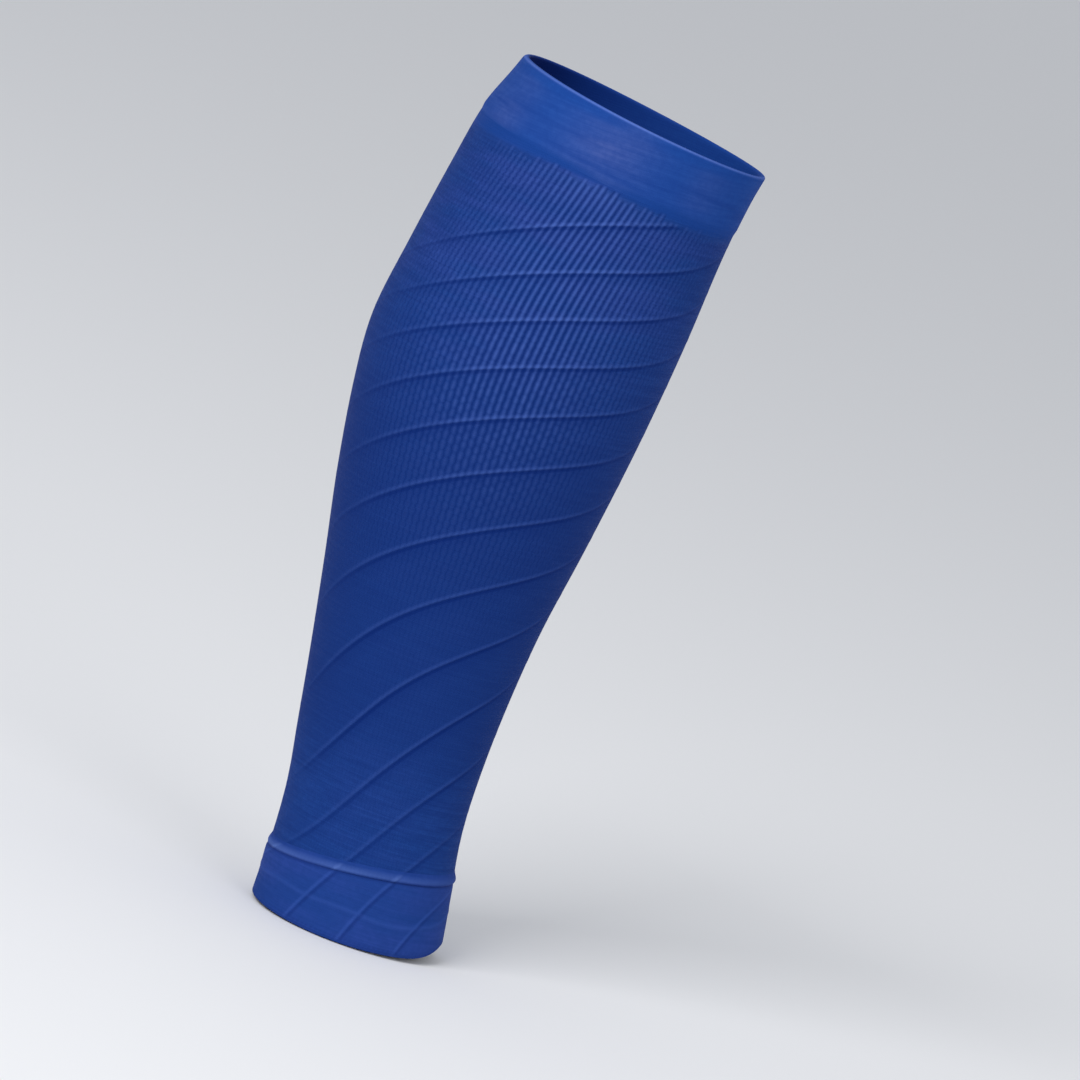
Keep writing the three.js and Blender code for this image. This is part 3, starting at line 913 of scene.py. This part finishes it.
# A painted highlight along the roll, strongest towards the calf muscle, and on each knot; painted shade
# along the roll's foot and on its inner face
roll_highlight = graph(ROLL_HIGHLIGHT, roll)
fold_highlight = round_leg(ROLL_HIGHLIGHT_ROUND_LEG, ankle_angle) * roll_highlight
fold_highlight = fold_highlight + KNOT_HIGHLIGHT * graph(HIGHLIGHT_ACROSS_KNOT, fold_from_ridge) * np.sqrt(roll_highlight)
fold_shade = graph(ROLL_SHADE, roll) + 0 * fold_height
fold_back = np.stack([fold_high, fold_low])
fold_marks = {
    "ridge_light": with_under(np.clip(fold_highlight, 0, 1), [0.0] * len(fold_back)),
    "ridge_dark": with_under(fold_shade, [0.0] * len(fold_back)),
    "inside": with_under(0 * fold_height, [1.0] * len(fold_back)),
}
fold_height = np.concatenate([fold_height, fold_back, fold_height[:1]])
fold_out = np.concatenate([fold_out, np.full(fold_back.shape, -LEG_WALL), fold_out[:1]])
ankle_fold = knit_round("ankle_roll", fold_height, fold_out, fold_marks)

# light is the colour of the roll's painted highlight, groove that of its painted shade, and the inner face's
# colour is painted shade
FOLD_COLOURS = {
    "yarn": screen(28, 58, 128),
    "violet": screen(36, 62, 134),
    "shade": screen(22, 50, 116),
    "groove": screen(12, 34, 98),
    "light": screen(74, 100, 166),
    "plain": screen(19, 58, 130),
    "inside": screen(21, 52, 120),
}
ankle_fold.data.materials.append(knit_finish("fold_knit", FOLD_COLOURS, streak=0.3, stitch_relief=0.00002))
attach(ankle_fold, "root")
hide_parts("ankle_fold")


# The ankle cuff
# The doubled hem at the ankle: turned up inside at the bottom edge and sewn, with the spiral
# ridges pressed flatter. A faint line shows where the inner layer ends, and one where it is sewn.
CUFF_WALL = 0.0021
CUFF_PROUD = 0.0003
CUFF_ROWS = 46
CUFF_BACK_ROWS = 8
CUFF_FLARE = 0.0006
HEM_SLANT = 1.0
HEM_DIP = 0.0015
HEM_SHIN_LIFT = 0.0045
FLARE_UP = (0.3, 0.95)
PRESSED = 0.45
PRESSED_UP = (0.0, 0.06)
VALLEY = (-0.0016, -0.0002)
INNER_LAYER = 0.0125
INNER_LAYER_RELIEF = 0.00014
INNER_LAYER_WIDTH = 0.0009
# Columns: how far the inner layer's end swings up and down, how often round the leg, its start.
INNER_LAYER_WAVES = ((0.0006, 3, 1), (0.0004, 7, 0))
STITCH_LINE = 0.0019
STITCH_WIDTH = 0.0004
STITCH_DEPTH = 0.00016
STITCHES = 120
STITCH_SWING = 0.4


def hem(angle):
    lift = HEM_SHIN_LIFT * np.maximum(0, np.cos(angle)) ** 10
    return slanted(0.0, HEM_SLANT, angle) + lift - HEM_DIP * np.sin(angle) ** 2


cuff_low = hem(ankle_angle) + CUFF_WALL / 2
cuff_high = cuff_top(ankle_angle) + TUCK
share = np.linspace(0, 1, CUFF_ROWS + 1)[:, None]
cuff_height = cuff_low + share * (cuff_high - cuff_low)
cuff_from_ridge = ridge_distance(cuff_height, ankle_angle)
above_hem = cuff_height - hem(ankle_angle)
pressed = PRESSED * ease(share, *PRESSED_UP) * graph(RIDGE_PROFILE, cuff_from_ridge)
pressed = pressed * ridge_strength(ankle_angle)
inner_line = above_hem - INNER_LAYER
for reach, turns, start in INNER_LAYER_WAVES:
    inner_line = inner_line - reach * np.sin(turns * ankle_angle + start)
inner_edge = INNER_LAYER_RELIEF * hill(inner_line, 0, INNER_LAYER_WIDTH)
stitches = 1 - STITCH_SWING + STITCH_SWING * np.cos(STITCHES * ankle_angle)
stitches = stitches * hill(above_hem, STITCH_LINE, STITCH_WIDTH)
valley = ease(cuff_height - cuff_high, *VALLEY)
flare = CUFF_FLARE * (0.5 - 0.5 * np.cos(ankle_angle)) * ease(share, *FLARE_UP)
cuff_out = CUFF_PROUD * (1 - valley) + flare + pressed + inner_edge - STITCH_DEPTH * stitches
cuff_inner_out = CUFF_PROUD - CUFF_WALL
cuff_back = cuff_high + np.linspace(0, 1, CUFF_BACK_ROWS)[:, None] * (cuff_low - cuff_high)
hem_heights, hem_outs = half_round(cuff_low, CUFF_PROUD, cuff_inner_out, -1)
hem_heights = np.array(hem_heights[::-1][1:-1])
hem_outs = np.array(hem_outs[::-1][1:-1])[:, None] + 0 * hem_heights

# The ridges are fainter here, with a painted highlight on their crowns and painted shade under them, and a
# painted highlight along the end of the inner layer. The sewn line and the hem's edge are dark, and the
# valley under the fold has painted shade.
HIGHLIGHT_ACROSS_PRESSED = ((-0.0006, 0), (0.0, 0.36), (0.0005, 0.3), (0.0011, 0))
SHADE_ACROSS_PRESSED = ((-0.0022, 0), (-0.0013, 0.45), (-0.0009, 0.45), (-0.0003, 0))
INNER_LAYER_HIGHLIGHT = 0.28
INNER_HIGHLIGHT_WIDTH = 0.0008
STITCH_DARK = 0.35
VALLEY_SHADE = 0.5
HEM_DARK = 0.6
HEM_DARK_UP = (0.0006, 0.0016)
cuff_highlight = graph(HIGHLIGHT_ACROSS_PRESSED, cuff_from_ridge)
cuff_highlight = np.maximum(cuff_highlight, INNER_LAYER_HIGHLIGHT * hill(inner_line, 0, INNER_HIGHLIGHT_WIDTH))
cuff_shade_and_stitches = np.maximum(graph(SHADE_ACROSS_PRESSED, cuff_from_ridge), STITCH_DARK * stitches)
cuff_shade_and_stitches = np.maximum(cuff_shade_and_stitches * ridge_strength(ankle_angle), VALLEY_SHADE * valley)
cuff_shade_and_stitches = np.maximum(cuff_shade_and_stitches, HEM_DARK * (1 - ease(above_hem, *HEM_DARK_UP)))
no_mark = [0.0] * (len(cuff_back) + len(hem_heights))
# Painted shade on the inside of the turned-up layer, fading out round the hem
turned_up = [1.0] * len(cuff_back) + list(np.linspace(1, 0, len(hem_heights)))
cuff_marks = {
    "ridge_light": with_under(cuff_highlight, no_mark),
    "ridge_dark": with_under(cuff_shade_and_stitches, no_mark),
    "inside": with_under(0 * cuff_height, turned_up),
}
cuff_height = np.concatenate([cuff_height, cuff_back, hem_heights, cuff_height[:1]])
cuff_out = np.concatenate([cuff_out, np.full(cuff_back.shape, cuff_inner_out), hem_outs, cuff_out[:1]])
ankle_cuff = knit_round("ankle_hem", cuff_height, cuff_out, cuff_marks)

# light is the colour of the painted highlights, groove that of the painted shade and the sewn line, and the
# inner face's colour is painted shade
CUFF_COLOURS = {
    "yarn": screen(29, 60, 130),
    "violet": screen(37, 63, 136),
    "shade": screen(22, 52, 117),
    "groove": screen(12, 34, 98),
    "light": screen(54, 84, 162),
    "plain": screen(19, 58, 130),
    "inside": screen(21, 52, 120),
}
ankle_cuff.data.materials.append(knit_finish("cuff_knit", CUFF_COLOURS, streak=0.3, stitch_relief=0.00005))
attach(ankle_cuff, "root")
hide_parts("ankle_cuff")
